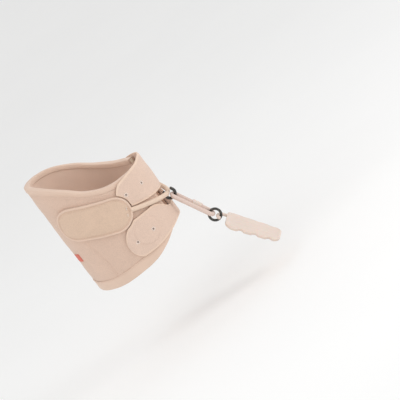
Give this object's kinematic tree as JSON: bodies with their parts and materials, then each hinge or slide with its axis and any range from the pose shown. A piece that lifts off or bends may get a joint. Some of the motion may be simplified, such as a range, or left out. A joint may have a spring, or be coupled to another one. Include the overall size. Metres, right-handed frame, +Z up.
{
  "type": "ankle foot orthosis",
  "caption": "Soft elastic foot-drop support: padded ankle cuff with two closure straps, stick-on cord pads, a V cord with an open hook, and a tether to a plate for under shoe laces.",
  "frame": {"origin": "on the leg's axis, level with the lowest edge of the cuff", "axes": "+Z up the lower leg, +X towards the toes, -Y the side on which the straps close"},
  "size_m": [0.176, 0.0966, 0.1768],
  "materials": {
    "cuff_cloth": "brushed loop pile",
    "foam": "matt open-cell foam",
    "lining": "smooth knit",
    "edge_tape": "stretch binding tape",
    "coral_tape": "plain woven tape",
    "strap_cloth": "brushed loop pile",
    "hook_tape": "hook tape",
    "pad_cloth": "brushed loop pile",
    "elastic": "braided elastic",
    "dark_metal": "dark glossy plating",
    "crimp_metal": "satin",
    "beige_plastic": "satin moulding"
  },
  "bodies": {
    "cuff": {"cuff_outer_cloth": "cuff_cloth", "cuff_foam_core": "foam", "cuff_lining": "lining", "top_edge_binding": "edge_tape", "low_edge_binding": "edge_tape", "near_edge_binding": "edge_tape", "far_edge_binding": "edge_tape", "blank_tag": "coral_tape", "upper_strap": "strap_cloth", "lower_strap": "strap_cloth", "tension_cord": "elastic"},
    "upper_tab": {"upper_tab_end": "strap_cloth", "upper_hook_patch": "hook_tape", "upper_front_tack": "strap_cloth", "upper_rear_tack": "strap_cloth"},
    "lower_tab": {"lower_tab_end": "strap_cloth", "lower_hook_patch": "hook_tape", "lower_front_tack": "strap_cloth", "lower_rear_tack": "strap_cloth"},
    "near_pad": {"near_pad_base": "hook_tape", "near_cord_crimp": "crimp_metal", "near_pad_cover": "pad_cloth", "near_pad_rim": "edge_tape"},
    "far_pad": {"far_pad_base": "hook_tape", "far_cord_crimp": "crimp_metal", "far_pad_cover": "pad_cloth", "far_pad_rim": "edge_tape"},
    "hook": {"front_hook": "dark_metal"},
    "tether": {"tether_cord": "elastic", "tether_sleeve": "beige_plastic"},
    "ring": {"shoe_ring": "dark_metal"},
    "insert": {"insert_plate": "beige_plastic"}
  },
  "joints": [
    {"name": "upper_tab_peel", "type": "hinge", "parent": "cuff", "child": "upper_tab", "pos_m": [0.0515, -0.01693, 0.07], "axis": [0, 0, 1], "range_deg": [0, 75]},
    {"name": "lower_tab_peel", "type": "hinge", "parent": "cuff", "child": "lower_tab", "pos_m": [0.04409, -0.02729, 0.03], "axis": [0, 0, 1], "range_deg": [0, 75]},
    {"name": "near_pad_peel", "type": "hinge", "parent": "cuff", "child": "near_pad", "pos_m": [0.03125, -0.03965, 0.056], "axis": [0.2988, 0.1664, 0.9397], "range_deg": [0, 50]},
    {"name": "far_pad_peel", "type": "hinge", "parent": "cuff", "child": "far_pad", "pos_m": [0.03125, 0.03965, 0.056], "axis": [-0.2988, 0.1664, -0.9397], "range_deg": [0, 50]},
    {"name": "hook_swing", "type": "hinge", "parent": "cuff", "child": "hook", "pos_m": [0.05762, 0, 0.04277], "axis": [0, -1, 0], "range_deg": [-3, 35]},
    {"name": "tether_swing", "type": "hinge", "parent": "hook", "child": "tether", "pos_m": [0.05946, 0, 0.0395], "axis": [0, -1, 0], "range_deg": [-6, 20]},
    {"name": "tether_stretch", "type": "slide", "parent": "tether", "child": "ring", "axis": [0.4903, 0, -0.8716], "range_m": [0, 0.025], "stiffness_N_per_m": 200, "deforming": ["tether_cord"]},
    {"name": "insert_swing", "type": "hinge", "parent": "ring", "child": "insert", "pos_m": [0.08347, 0, -0.00247], "axis": [0, -1, 0], "range_deg": [-30, 40]}
  ]
}
